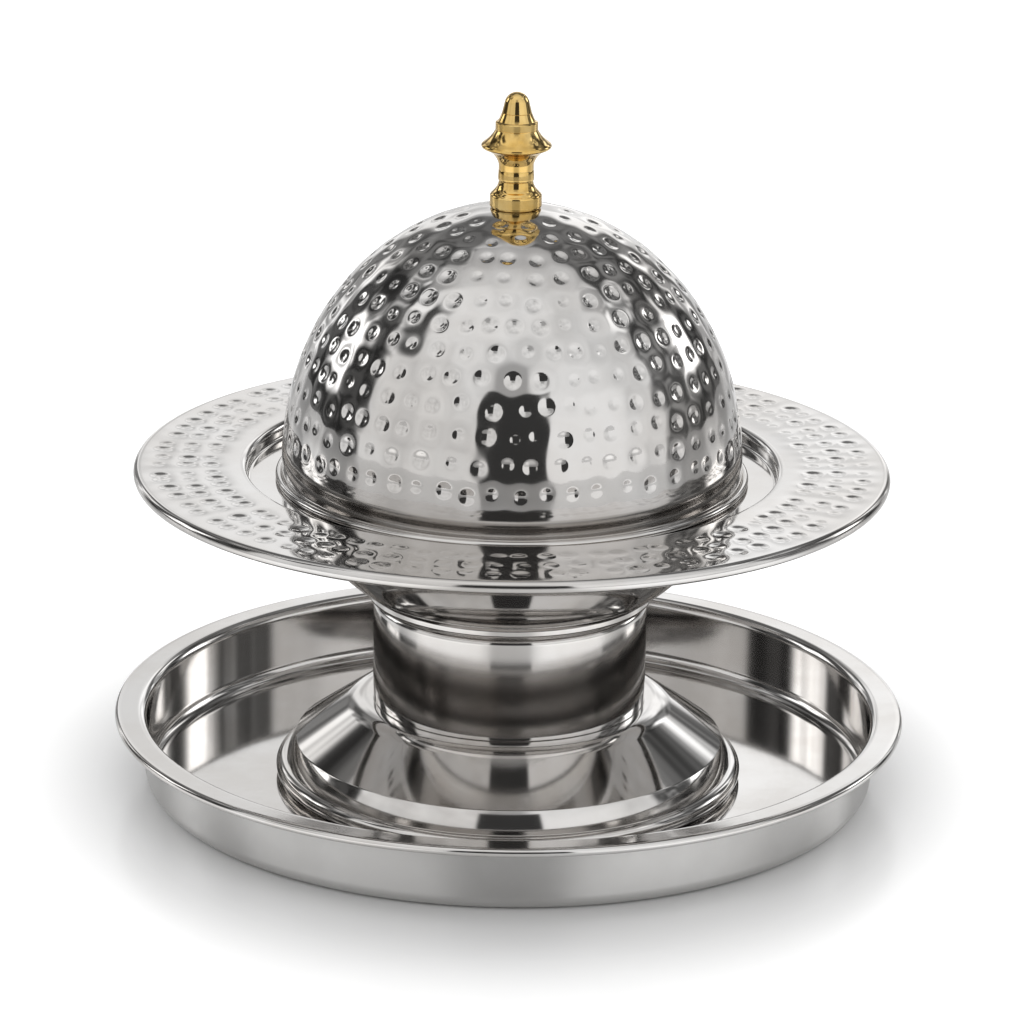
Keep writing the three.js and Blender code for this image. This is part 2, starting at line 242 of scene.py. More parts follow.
def piece(name, vertices, faces):
    """A smooth mesh object from vertices in millimetres and blocks of faces with 3 or 4 corners."""
    mesh = bpy.data.meshes.new(name)
    corners = np.concatenate([block.ravel() for block in faces]).astype(np.int32)
    counts = np.concatenate([np.full(len(block), block.shape[1]) for block in faces])
    mesh.vertices.add(len(vertices))
    mesh.vertices.foreach_set("co", (np.asarray(vertices) * MM).astype(np.float32).ravel())
    mesh.loops.add(len(corners))
    mesh.loops.foreach_set("vertex_index", corners)
    mesh.polygons.add(len(counts))
    mesh.polygons.foreach_set("loop_start", (np.cumsum(counts) - counts).astype(np.int32))
    mesh.update(calc_edges=True)
    mesh.validate()
    mesh.shade_smooth()
    mesh.set_sharp_from_angle(angle=SHARP)
    made = bpy.data.objects.new(name, mesh)
    bpy.context.scene.collection.objects.link(made)
    print(f"{name}: {len(vertices)} vertices, {len(counts)} faces")
    return made


# %% [markdown]
# ## The lathe
#
# Turning is the one step that all these pieces share. A section that starts on the axis ends on it
# too, and any other closes on itself, as a ring does. Before a ring of vertices is used it can be
# carved, which is how hammer marks, threads and the nut's flats come in.

# %% Lathe
PLAIN_SIDES = 320
ON_AXIS = 1e-6    # mm: a point nearer the axis than this is one vertex


def spin(name, node, section, sides=PLAIN_SIDES, carve=None):
    """Turns an anticlockwise section about Z on its node's seat. carve moves a ring's points."""
    closes = section[0][0] >= ON_AXIS
    counts = [sides] * len(section) if isinstance(sides, int) else list(sides)
    counts = [1 if radius < ON_AXIS else count for (radius, _), count in zip(section, counts)]
    starts = np.cumsum([0] + counts)
    blocks = []
    for i, ((radius, height), count) in enumerate(zip(section, counts)):
        angle = np.arange(count) * 2 * math.pi / count
        points = np.column_stack(
            [radius * np.cos(angle), radius * np.sin(angle), np.full(count, height)])
        blocks.append(points if carve is None else carve(i, angle, points))
    vertices = np.vstack(blocks) + [0, 0, seat(node)]
    pairs = [(i, i + 1) for i in range(len(section) - 1)]
    pairs += [(len(section) - 1, 0)] if closes else []
    faces = [block for a, b in pairs
             for block in ribbon(starts[a], counts[a], starts[b], counts[b])]
    return piece(name, vertices, faces)


print("a plain piece has", PLAIN_SIDES, "sides")

# %% [markdown]
# ## Hammer marks
#
# The lid and the rim are planished with ball-ended hammers: a blow on the lid leaves the print of
# a ball 17 mm across, one on the rim that of a flatter ball. Round the print the sheet sinks a
# little over a wider area, which makes the waves in what the metal mirrors. A bump map would fake
# the shading but leave the outline and the far side smooth, so the dents are real: every vertex
# near a blow moves into the sheet, and the hidden face bulges with it. The blows are seeded, so
# they land in the same places each time.

# %% Dents
BALL, RIM_BALL = 8.5, 20.0   # mm, radius of the hammer's face for the lid and for the rim
SHOULDER = 0.10   # softness of a print's edge, as a share of its depth
WAVE = 4.8        # mm, reach of the sunken area round a print
FAR_OFF = 3       # reaches from a blow at which nothing of it is left
blows = np.random.default_rng(1107)


class Blows:
    """Where the hammer fell on a drawn face: centres in mm, print depths and the wider sinking."""

    def __init__(self, centres, depths, sinkings, ball):
        self.centres, self.depths, self.sinkings = map(np.array, (centres, depths, sinkings))
        self.ball = ball

    def depth(self, points):
        """How far each of a ring's points is pushed in."""
        rise = self.centres[:, 2] - points[:, 2].mean()
        out = np.hypot(*self.centres[:, :2].T) - np.hypot(points[0, 0], points[0, 1])
        near = np.hypot(rise, out) < FAR_OFF * WAVE
        if not near.any():
            return np.zeros(len(points))
        away = ((points[:, None] - self.centres[None, near]) ** 2).sum(2)
        depths = self.depths[near]
        print_shape = (1 - away / (2 * self.ball * depths)) / SHOULDER
        print_depth = depths * SHOULDER * np.logaddexp(0, np.clip(print_shape, -40, 40))
        return (print_depth + self.sinkings[near] * np.exp(-away / WAVE**2)).sum(1)


print("hammer balls", 2 * BALL, "and", 2 * RIM_BALL, "mm across")

# %% [markdown]
# ## Soft creases
#
# Where a spinner turns the sheet over the edge of a chuck, the crease looks sharp but is rounded
# by about the sheet's thickness, and that rounding catches a thin line of light. A Bevel modifier
# would round every edge of the mesh; this rounds just the corner of the section that is meant.

# %% Easing a corner


def eased(before, corner, after, radius, step=12):
    """Points that round off one corner of a drawn line."""
    before, corner, after = (np.array(p, float) for p in (before, corner, after))
    back = (before - corner) / np.linalg.norm(before - corner)
    ahead = (after - corner) / np.linalg.norm(after - corner)
    half = math.acos(np.clip(back @ ahead, -1, 1)) / 2
    centre = corner + (back + ahead) / np.linalg.norm(back + ahead) * radius / math.sin(half)
    reach = radius / math.tan(half)
    start, end = corner + back * reach - centre, corner + ahead * reach - centre
    first, last = math.atan2(start[1], start[0]), math.atan2(end[1], end[0])
    sweep = (last - first + math.pi) % (2 * math.pi) - math.pi
    count = max(2, math.ceil(abs(math.degrees(sweep)) / step))
    return [tuple(centre + radius * np.array([math.cos(a), math.sin(a)]))
            for a in first + np.linspace(0, sweep, count + 1)]


print("points on an eased square corner:", len(eased((0, 10), (0, 0), (10, 0), 2)))

# %% [markdown]
# ## Tray
#
# The tray is pressed from one disc: a flat floor, a tight bend, an upright wall, a flat flange and
# a thin rolled edge. It could be modelled as a cylinder with a bevel, but then its wall would have
# no thickness where the flange turns over, so it is spun from the section of its sheet like the
# rest.

# %% Tray
SHEET = 0.9          # mm, the same sheet for every spun piece
TRAY_RIM, TRAY_DEPTH, TRAY_WALL = 160.0, 30.0, 148.0
TRAY_CORNER, TRAY_SHOULDER, TRAY_BEAD = 6.0, 3.7, 1.65


def tray_section():
    bend = TRAY_CORNER - SHEET
    inner = TRAY_WALL - SHEET
    bead = (TRAY_RIM - TRAY_BEAD, TRAY_DEPTH - TRAY_BEAD)
    bead_start = bead[0] - math.sqrt(TRAY_BEAD**2 - (TRAY_BEAD - SHEET) ** 2)
    face = [
        (0, SHEET),
        *arc((inner - bend, SHEET + bend), bend, -90, 0),
        *arc((inner + TRAY_SHOULDER, TRAY_DEPTH - TRAY_SHOULDER), TRAY_SHOULDER, 180, 90),
        (bead_start, TRAY_DEPTH),
    ]
    return sheet(held(face), SHEET, arc(bead, TRAY_BEAD, 90, -180, step=12))


tray_sheet = spin("tray_sheet", "tray", tray_section())

# %% [markdown]
# ## Foot
#
# The foot is a spun disc with a hole: from its closed top it steps down to a small ledge, falls as
# a cone to a crisp crease, drops as a short bowed wall, and curls under to a narrow flat that it
# stands on. The column hides the step. Everything below the top is open, as a turned-over bowl is.

# %% Foot
FOOT_CURL, FOOT_CURL_OUT, FOOT_LIP = 3.7, 94.7, 3.0
FOOT_CREASE, FOOT_LEDGE, FOOT_TOP, SPIGOT = (86.7, 16.0), (62.1, 33.1), 34.7, 54.0
SPIGOT_BEND, FOOT_LEDGE_BEND, FOOT_CREASE_BEND, FOOT_BOW = 1.5, 16.0, 0.9, 40.0
FOOT_ROLL = 98    # degrees at which the wall runs into the curl
STUD_RADIUS, HOLE_GAP = 3.0, 0.5


def foot_section():
    curl = (FOOT_CURL_OUT - FOOT_CURL, FOOT_CURL)
    roll = arc(curl, FOOT_CURL, FOOT_ROLL, -90)
    wall = hollow(FOOT_CREASE, roll[0], FOOT_BOW)
    face = [
        (STUD_RADIUS + HOLE_GAP, FOOT_TOP),
        *arc((SPIGOT - SPIGOT_BEND, FOOT_TOP - SPIGOT_BEND), SPIGOT_BEND, 90, 0, step=15),
        (SPIGOT, FOOT_LEDGE[1]),
        *eased((SPIGOT, FOOT_LEDGE[1]), FOOT_LEDGE, FOOT_CREASE, FOOT_LEDGE_BEND, step=3),
        *eased(FOOT_LEDGE, FOOT_CREASE, wall[3], FOOT_CREASE_BEND),
        *wall[2:],
        *roll[1:],
        (curl[0] - FOOT_LIP, 0),
    ]
    return sheet(held(face), SHEET)


foot_shell = spin("foot_shell", "foot", foot_section())

# %% [markdown]
# ## Column
#
# The column is a plain tube with its top turned in. It stands on the foot's ledge, and its lower
# end is cut square. Two cylinders that only touch would render as one: easing the tube's outer
# corner by a few tenths of a millimetre leaves the fine dark seam that shows where one piece
# stands on the other.

# %% Column
COLUMN_RADIUS, COLUMN_HEIGHT, COLUMN_CORNER, SEAM = 55.3, 43.0, 3.0, 0.35
STUD_PLATE = 18.0


def column_section():
    face = [
        (STUD_PLATE + HOLE_GAP, COLUMN_HEIGHT),
        *arc((COLUMN_RADIUS - COLUMN_CORNER, COLUMN_HEIGHT - COLUMN_CORNER), COLUMN_CORNER, 90, 0),
        (COLUMN_RADIUS, SEAM),
    ]
    lower_edge = arc((COLUMN_RADIUS - SEAM, SEAM), SEAM, 0, -90, step=20)[1:]
    return sheet(held(face), SHEET, [*lower_edge, (COLUMN_RADIUS - SHEET, 0)])


column_shell = spin("column_shell", "column", column_section())

# %% [markdown]
# ## A sheet with hammer marks
#
# A hammered sheet is a sheet whose drawn face is fine enough to hold the prints. Its hidden face
# bulges softly, so it gets by with every other ring and half the sides. Each ring remembers the
# point it was drawn from and its way into the sheet, so both faces move together wherever the
# hammer fell.

# %% Hammered sheets


def hammered_sheet(face, sides, least, edge=(), edge_sides=0):
    """Section, sides, drawn points and ways in of a sheet whose hidden face has half the detail."""
    mitre, longer = mitres(face)
    hidden = np.array(face) + mitre * (longer * SHEET)[:, None]
    keep = [i for i in range(len(face)) if sides[i] <= least or i % 2 == 0 or i == len(face) - 1]
    section = [tuple(hidden[i]) for i in keep] + [*face, *edge][::-1]
    counts = [max(sides[i] // 2, least) for i in keep] + [*sides, *[edge_sides] * len(edge)][::-1]
    drawn = [face[i] for i in keep] + [*face, *edge][::-1]
    still = [(0.0, 0.0)] * len(edge)
    ways = [tuple(mitre[i]) for i in keep] + [*map(tuple, mitre), *still][::-1]
    return section, counts, drawn, ways


def hammered(drawn, ways, marks):
    """A carve for spin: moves a ring's points into the sheet where the hammer fell."""
    def carve(i, angle, points):
        radius, height = drawn[i]
        round_ = np.column_stack([np.cos(angle), np.sin(angle)])
        skin = np.column_stack([radius * round_, np.full(len(angle), height)])
        push = marks.depth(skin)[:, None]
        way = np.column_stack([ways[i][0] * round_, np.full(len(angle), ways[i][1])])
        return points + push * way
    return carve


strip = hammered_sheet([(1, 1), (2, 1), (3, 1)], [8, 8, 8], least=4)
print("sides of a hammered strip's rings, hidden face first:", strip[1])

# %% [markdown]
# ## Dish
#
# The dish is the largest pressing: a low base ring, a deep well, a flat ledge for the lid, a short
# step up and a wide flat rim that ends in a curl. It could be one smooth curve, but each bend is a
# line of light on the real one, so each has its own radius. Only the rim is hammered and needs a
# fine mesh, so only its rings have many sides.

# %% Dish's drawn face
DISH_BASE, DISH_BASE_HEIGHT, DISH_BASE_CORNER, WELL_BOW = 57.5, 4.0, 2.0, 80.0
WELL_MOUTH, LEDGE_HEIGHT, LEDGE_BEND, LEDGE_START = 92.0, 50.0, 1.9, 163
STEP_RADIUS, STEP_FILLET, STEP_EDGE, RIM_RISE = 106.0, 1.5, 2.9, 6.0
RIM_OUT, RIM_CURL, RIM_CURL_END = 151.5, 2.6, -130
RIM_STEP = 0.65         # mm between rings on the hammered rim
RIM_SIDES, CURL_SIDES, WELL_SIDES = 1280, 640, 320


def dish_face():
    """The drawn face of the dish and the sides of each of its rings."""
    rim = LEDGE_HEIGHT + RIM_RISE
    base_bend = DISH_BASE_CORNER - SHEET
    ledge = arc((WELL_MOUTH, LEDGE_HEIGHT - LEDGE_BEND), LEDGE_BEND, LEDGE_START, 90, step=8)
    well = bow((DISH_BASE, DISH_BASE_HEIGHT + SHEET), ledge[0], WELL_BOW - SHEET, steps=24)
    edge = arc((STEP_RADIUS + STEP_EDGE, rim - STEP_EDGE), STEP_EDGE, 180, 90)
    curl = arc((RIM_OUT - RIM_CURL, rim - RIM_CURL), RIM_CURL, 90, RIM_CURL_END, step=10)
    inner = held([
        (0, SHEET),
        *arc((DISH_BASE - DISH_BASE_CORNER, DISH_BASE_CORNER), base_bend, -90, 0, step=10),
        (DISH_BASE - SHEET, DISH_BASE_HEIGHT),
        *well[:-1], *ledge,
        *arc((STEP_RADIUS - STEP_FILLET, LEDGE_HEIGHT + STEP_FILLET), STEP_FILLET, -90, 0, step=12),
    ])
    count = round((curl[0][0] - edge[-1][0]) / RIM_STEP)
    flat = [(edge[-1][0] + (curl[0][0] - edge[-1][0]) * i / count, rim) for i in range(1, count)]
    face = [*inner, *edge, *flat, *curl]
    sides = ([WELL_SIDES] * len(inner) + [CURL_SIDES] * len(edge)
             + [RIM_SIDES] * len(flat) + [CURL_SIDES] * len(curl))
    return face, sides


dish_face_points, dish_sides = dish_face()
print("rings on the dish's drawn face:", len(dish_face_points))

# %% [markdown]
# ## The blows on the rim
#
# Three rings of hammer marks run round the rim, roughly in line with each other along the radius,
# as a maker gets who turns the dish a little after every third blow. Evenly spaced dents would
# look machined, so the line, each blow's angle, its radius and its depth all wander.

# %% Blows on the rim
RIM_BLOWS, RIM_ROWS = 82, (120.5, 130.5, 140.5)
RIM_LINE, RIM_AIM = 0.16, 0.13      # wandering of each line and blow, as shares of their spacing
RIM_DRIFT = 0.55                    # mm, wandering along the radius
RIM_DEPTHS = (0.16, 0.42)           # mm
RIM_SINKING, RIM_SINKING_SHARE = 0.08, 0.32


def rim_blows():
    """Three blows in line, then the dish is turned: the three rings share a spread of angles."""
    spacing = 2 * math.pi / RIM_BLOWS
    line = np.arange(RIM_BLOWS) * spacing + blows.uniform(-RIM_LINE, RIM_LINE, RIM_BLOWS) * spacing
    centres, depths = [], []
    for radius in RIM_ROWS:
        angle = line + blows.uniform(-RIM_AIM, RIM_AIM, RIM_BLOWS) * spacing
        out = radius + blows.normal(0, RIM_DRIFT, RIM_BLOWS)
        centres.append(np.column_stack([out * np.cos(angle), out * np.sin(angle),
                                        np.full(RIM_BLOWS, LEDGE_HEIGHT + RIM_RISE)]))
        depths.append(blows.uniform(*RIM_DEPTHS, RIM_BLOWS))
    depths = np.concatenate(depths)
    return Blows(np.vstack(centres), depths, RIM_SINKING + RIM_SINKING_SHARE * depths, RIM_BALL)


section, counts, drawn, ways = hammered_sheet(dish_face_points, dish_sides, least=WELL_SIDES)
dish_sheet = spin("dish_sheet", "dish", section, counts, hammered(drawn, ways, rim_blows()))
print("blows on the rim:", RIM_BLOWS * len(RIM_ROWS))

# %% [markdown]
# ## The lid's curve
#
# The lid is half an ellipsoid on a short upright band. Equal steps of an ellipse's angle are
# longer at its side than at its top, and a hammered sheet needs equal steps of metal, so the way
# down the curve is measured first and then read off wherever a ring or a blow is wanted.

# %% Lid's curve
DOME_RADIUS, DOME_RISE, DOME_BAND, DOME_FLAT = 92.2, 103.0, 8.7, 9.5

fine_angles = np.linspace(0, math.pi / 2, 4001)
fine_way = np.hypot(DOME_RADIUS * np.cos(fine_angles), DOME_RISE * np.sin(fine_angles))
fine_steps = (fine_way[1:] + fine_way[:-1]) / 2 * np.diff(fine_angles)
fine_way = np.concatenate([[0], np.cumsum(fine_steps)])


def dome_point(way):
    """Radius and height of the lid's curve, that many millimetres down from its top."""
    angle = np.interp(way, fine_way, fine_angles)
    return DOME_RADIUS * np.sin(angle), DOME_BAND + DOME_RISE * np.cos(angle)


print(f"way down the lid's curve: {fine_way[-1]:.1f} mm")

# %% [markdown]
# ## The blows on the lid
#
# The maker hammered the lid in rings, from just above the band up to the knob, about 11 mm apart
# and as far along each ring, by eye: spacing, depth and line all wander. Scattering points at
# random with a least distance would be easier, but it loses the rows that the eye finds on the
# real lid.

# %% Blows on the lid
LOWEST_ROW, HIGHEST_ROW, ROW_PITCH, BLOW_PITCH = 141.0, 15.0, 10.9, 10.7   # mm down the curve
DOME_AIM, DOME_DRIFT = 0.13, 0.75     # wandering along the row, as a share, and across it, in mm
DOME_DEPTHS, DOME_SINKINGS, DOME_SINKING_SHARE = (0.26, 0.66), (0.12, 0.32), 0.12


def dome_blows():
    """Rings of blows from the band up to the knob."""
    centres, depths = [], []
    way = LOWEST_ROW
    while way > HIGHEST_ROW:
        radius, _ = dome_point(way)
        count = round(2 * math.pi * radius / BLOW_PITCH)
        spacing = 2 * math.pi / count
        start = blows.uniform(0, spacing)
        angle = start + np.cumsum(spacing * (1 + blows.normal(0, DOME_AIM, count)))
        out, height = dome_point(way + blows.normal(0, DOME_DRIFT, count))
        centres.append(np.column_stack([out * np.cos(angle), out * np.sin(angle), height]))
        depths.append(blows.uniform(*DOME_DEPTHS, count))
        way -= ROW_PITCH
    depths = np.concatenate(depths)
    sinkings = blows.uniform(*DOME_SINKINGS, len(depths)) + DOME_SINKING_SHARE * depths
    return Blows(np.vstack(centres), depths, sinkings, BALL)


lid_marks = dome_blows()
print("blows on the lid:", len(lid_marks.depths))

# %% [markdown]
# ## Lid
#
# A small rolled edge closes the lid at its foot. The curve could have the same number of vertices
# in every ring, but the rings get shorter upward, and the quads would turn into slivers. So within
# 60 mm of the top, measured down the curve, a ring has half the vertices, and near the knob a
# quarter.

# %% Lid
DOME_BEAD_OUT, DOME_BEAD = 94.8, 1.4
SCREW_RADIUS = 2.0
DOME_STEP = 0.68                   # mm between rings
DOME_SIDES = ((0, 192), (30, 384), (60, 768))   # sides of a ring from this way down the curve
BAND_RINGS = 7


def dome_face():
    """The drawn face of the lid and the sides of each of its rings."""
    start = np.interp(math.asin(DOME_FLAT / DOME_RADIUS), fine_angles, fine_way)
    steps = round((fine_way[-1] - start) / DOME_STEP)
    down = np.linspace(start, fine_way[-1], steps + 1)
    curve = [tuple(dome_point(way)) for way in down]
    sides = [[count for least, count in DOME_SIDES if way >= least][-1] for way in down]
    bead_top = DOME_BEAD + math.sqrt(DOME_BEAD**2 - (DOME_RADIUS - DOME_BEAD_OUT + DOME_BEAD) ** 2)
    band = [(DOME_RADIUS, h) for h in np.linspace(DOME_BAND, bead_top + HOLD, BAND_RINGS + 1)[1:]]
    face = [(SCREW_RADIUS + HOLE_GAP, curve[0][1]), (curve[0][0] - HOLD, curve[0][1]),
            *curve, *band, (DOME_RADIUS, bead_top)]
    first, last = DOME_SIDES[0][1], DOME_SIDES[-1][1]
    return face, [first, first, *sides, *[last] * (len(band) + 1)]


def dome_edge():
    """The rolled edge at the foot of the lid, from the band round to the inside."""
    centre = (DOME_BEAD_OUT - DOME_BEAD, DOME_BEAD)
    start = math.degrees(math.acos((DOME_RADIUS - centre[0]) / DOME_BEAD))
    return [*arc(centre, DOME_BEAD, start, -90, step=12)[1:], (DOME_RADIUS - SHEET, 0)]


section, counts, drawn, ways = hammered_sheet(*dome_face(), DOME_SIDES[0][1], dome_edge(),
                                              DOME_SIDES[1][1])
dome_sheet = spin("dome_sheet", "lid_dome", section, counts, hammered(drawn, ways, lid_marks))

# %% [markdown]
# ## Knob
#
# The knob is turned from brass bar: a collar with a sloping shoulder, a slim neck with a low ring,
# a skirt that flares to a rounded lip, and a tapered cap in three bands with a domed tip. The tool
# leaves a fine groove between the bands, which a polished surface shows as a thin dark line. A
# dark line in the finish would do from afar, but here the grooves are cut into the section. The
# knob is bored for the screw that holds it, a little wide, because threads aren't modelled inside
# it.

# %% Knob
KNOB_SIDES, KNOB_BORE = 160, 13.0
THREAD_GAP = 0.3                    # mm, added to the radius of a hole round a thread
GROOVE, GROOVE_WIDTH = 0.14, 0.28   # mm


def grooved(a, b, share=1.0):
    """The end b of a straight cut from a, with a fine groove just before it."""
    a, b = np.array(a, float), np.array(b, float)
    along = (b - a) / np.linalg.norm(b - a)
    inward = np.array([-along[1], along[0]]) * GROOVE * share
    return [tuple(b - along * GROOVE_WIDTH), tuple(b - along * GROOVE_WIDTH / 2 + inward), tuple(b)]


def knob_section():
    base, collar, collar_top, shoulder = (9.6, 0), (10.3, 0.9), (10.3, 4.8), (8.4, 7.2)
    neck_low, notch, neck_high = (6.85, 10.6), (7.1, 11.3), (6.95, 17.4)
    waist, waist_top, step = (8.4, 31.2), (8.4, 34.2), (7.3, 34.85)
    crease, tip, cap, top = (5.85, 38.3), (4.75, 42.9), (4.6, 43.2), (0, 46.3)
    bore = SCREW_RADIUS + THREAD_GAP
    cap_radius = (cap[0] ** 2 + (top[1] - cap[1]) ** 2) / (2 * (top[1] - cap[1]))
    return [
        (0, KNOB_BORE), (bore, KNOB_BORE), (bore, 0), *held([(bore, 0), base])[1:-1],
        *bow(base, collar, 1.3, 6), *held([collar, collar_top])[1:-1],
        *bow(collar_top, (9.75, 5.75), 1.2, 5), *bow((9.6, 5.9), shoulder, 6, 6),
        *hollow(shoulder, neck_low, 6, 10)[1:], (6.8, 10.85), notch, (7.14, 12.2), (7.08, 13.4),
        *grooved((7.0, 14.6), (6.96, 15.4), 0.5), neck_high,
        *hollow(neck_high, (13.1, 23.9), 9, 14)[1:],
        *arc((12.95, 24.95), 0.95, -50, 62, 12),
        *hollow((13.2, 26.0), waist, 15, 14), *grooved(waist, (8.42, 31.7), 0.6),
        *held([(8.42, 31.7), waist_top])[1:], (8.1, 34.5), *held([(8.1, 34.5), step])[1:],
        *hollow(step, crease, 30, 6)[1:-1], *grooved((5.95, 38.0), crease, 0.8),
        *held([crease, tip])[1:], *bow(cap, top, cap_radius, 12),
    ]


def distinct(line):
    """The line without points that repeat the one before."""
    return [p for i, p in enumerate(line) if i == 0 or math.dist(p, line[i - 1]) > 0.02]


finial_knob = spin("finial_knob", "finial", distinct(knob_section()), KNOB_SIDES)

# %% [markdown]
# ## The stud under the dish
#
# A steel stud on a round plate is brazed under the dish. It passes through the column and the
# foot's closed top, where a washer and a nut draw the three together. A thread can be made with a
# Screw modifier; here the lathe's own rings follow the helix, so rod, thread and plate are one
# mesh.

# %% Stud
STUD_LENGTH = (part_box("dish_stud")[1].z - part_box("dish_stud")[0].z) / MM
STUD_TIP, PLATE_THICKNESS, PLATE_EASE = 0.4, 1.5, 0.3
THREAD_PITCH, THREAD_DEPTH, THREAD_LENGTH, THREAD_END = 1.0, 0.55, 14.0, 0.1
RINGS_A_TURN = 8
HARDWARE_SIDES = 96


def threaded(pitch, depth, start, end):
    """A carve for spin that cuts a helical groove into the rings between two heights."""
    def carve(i, angle, points):
        height = points[0, 2]
        if len(points) == 1 or not start <= height <= end:
            return points
        turns = (height / pitch - angle / (2 * math.pi)) % 1
        fade = min(1, (height - start) / pitch, (end - height) / pitch)
        cut = 1 - depth * fade * (1 - np.abs(2 * turns - 1)) / np.hypot(points[0, 0], points[0, 1])
        return points * np.column_stack([cut, cut, np.ones(len(points))])
    return carve


def stud_section():
    plate = STUD_LENGTH - PLATE_THICKNESS
    heights = np.arange(STUD_TIP, THREAD_LENGTH + THREAD_END, THREAD_PITCH / RINGS_A_TURN)
    thread = [(STUD_RADIUS, h) for h in heights]
    return [(0, 0), (STUD_RADIUS - STUD_TIP, 0),
            *thread, *held([thread[-1], (STUD_RADIUS, plate)])[1:],
            (STUD_PLATE - PLATE_EASE, plate), (STUD_PLATE, plate + PLATE_EASE),
            (STUD_PLATE, STUD_LENGTH), (0, STUD_LENGTH)]


stud_threaded = spin("stud_threaded", "dish_stud", stud_section(), HARDWARE_SIDES,
                     threaded(THREAD_PITCH, THREAD_DEPTH, STUD_TIP, THREAD_LENGTH))

# %% [markdown]
# ## Washer and nut under the foot
#
# The washer is a flat ring with softly tumbled edges. The nut could be a cylinder with six sides,
# but its corners would be too sharp: on a real one they are cut back by a 30 degree chamfer, which
# leaves a curved edge on each flat. So it is turned first, and its flats and chamfers are carved.

# %% Washer and nut
WASHER_EASE = 0.25                                  # share of a washer's thickness
FOOT_WASHER, LID_WASHER = (16.0, 1.6), (7.0, 1.0)   # mm, radius and thickness
NUT_FLATS, NUT_HEIGHT, CHAMFER_CIRCLE = 10.0, 5.0, 4.75
NUT_ENDS, NUT_EASE = 0.6, 0.3    # mm: closely ringed ends, and the countersink of the bore


def washer_section(hole, radius, thickness):
    ease = thickness * WASHER_EASE
    corners = [(hole, 0), (radius, 0), (radius, thickness), (hole, thickness)]
    ring = [corners[-1], *corners, corners[0]]
    points = [p for a, b, c in zip(ring, ring[1:], ring[2:]) for p in eased(a, b, c, ease, step=30)]
    return held(points)


def hexagonal(i, angle, points):
    """Cuts the rings of a nut to a hexagon, and its corners to a cone at both ends."""
    radius, height = np.hypot(points[0, 0], points[0, 1]), points[0, 2]
    if radius < CHAMFER_CIRCLE:
        return points
    flat = NUT_FLATS / 2 / np.cos((angle % (math.pi / 3)) - math.pi / 6)
    cone = CHAMFER_CIRCLE + min(height, NUT_HEIGHT - height) * math.sqrt(3)
    cut = np.minimum(flat, cone) / radius
    return points * np.column_stack([cut, cut, np.ones(len(points))])


nut_bore = STUD_RADIUS + THREAD_GAP
nut_corner = NUT_FLATS / math.sqrt(3)
nut_heights = [*np.linspace(0, NUT_ENDS, 7), *np.linspace(NUT_ENDS, NUT_HEIGHT - NUT_ENDS, 4)[1:-1],
               *np.linspace(NUT_HEIGHT - NUT_ENDS, NUT_HEIGHT, 7)]
nut_section = [
    (nut_bore, NUT_EASE), (nut_bore + NUT_EASE, 0), *[(nut_corner, h) for h in nut_heights],
    (nut_bore + NUT_EASE, NUT_HEIGHT), (nut_bore, NUT_HEIGHT - NUT_EASE)]
stud_washer = spin("stud_washer", "foot_washer",
                   washer_section(STUD_RADIUS + HOLE_GAP, *FOOT_WASHER), HARDWARE_SIDES)
hex_nut = spin("hex_nut", "foot_nut", nut_section, HARDWARE_SIDES, hexagonal)

# %% [markdown]
# ## Screw and washer inside the lid
#
# The knob is held by a pan-head screw through a small washer. It could be a plain pin, but its
# head is what anyone sees who turns the lid over. Its thread is carved as the stud's is, only
# finer, and starts a little above the head.

# %% Screw and washer
HEAD_FLAT, HEAD_RADIUS, HEAD_HEIGHT, HEAD_EDGE = 2.7, 3.8, 2.6, 1.3
HEAD_BOW, HEAD_EASE = 1.6, 0.15
SCREW_LENGTH = (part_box("finial_screw")[1].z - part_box("finial_screw")[0].z) / MM
SCREW_PITCH, SCREW_DEPTH, SCREW_NECK, SCREW_TIP = 0.7, 0.4, 1.2, (0.4, 0.3)


def screw_section():
    heights = np.arange(HEAD_HEIGHT + SCREW_NECK, SCREW_LENGTH - SCREW_TIP[1],
                        SCREW_PITCH / RINGS_A_TURN)
    head = bow((HEAD_FLAT, 0), (HEAD_RADIUS, HEAD_HEIGHT - HEAD_EDGE), HEAD_BOW, steps=6)
    return [(0, 0), *head,
            (HEAD_RADIUS, HEAD_HEIGHT - HEAD_EASE), (HEAD_RADIUS - HEAD_EASE, HEAD_HEIGHT),
            (SCREW_RADIUS, HEAD_HEIGHT), *[(SCREW_RADIUS, h) for h in heights],
            (SCREW_RADIUS - SCREW_TIP[0], SCREW_LENGTH), (0, SCREW_LENGTH)]


def screw_thread(i, angle, points):
    """The screw's thread starts above its head, so the heights are counted from there."""
    lift = np.array([0, 0, HEAD_HEIGHT])
    cut = threaded(SCREW_PITCH, SCREW_DEPTH, SCREW_NECK, SCREW_LENGTH - HEAD_HEIGHT)
    return cut(i, angle, points - lift) + lift


pan_head_screw = spin("pan_head_screw", "finial_screw", distinct(screw_section()), HARDWARE_SIDES,
                      screw_thread)
dome_washer = spin("dome_washer", "lid_washer",
                   washer_section(SCREW_RADIUS + HOLE_GAP, *LID_WASHER), HARDWARE_SIDES)

# %% [markdown]
# ## The cross in the screw's head
#
# The recess could be painted on, but light from the side shows a painted one as flat. A tapered
# cross is cut out of the head with a Boolean instead, and the result is kept as the screw's mesh,
# so that no modifier is left on it.

# %% Cross recess
RECESS_DEPTH, RECESS_ARM, RECESS_WIDTH = 1.5, 1.9, 0.75
RECESS_MOUTH, RECESS_END = 1.1, 0.55   # widths where it starts and ends, as shares
RECESS_START = 0.2                     # mm below the head


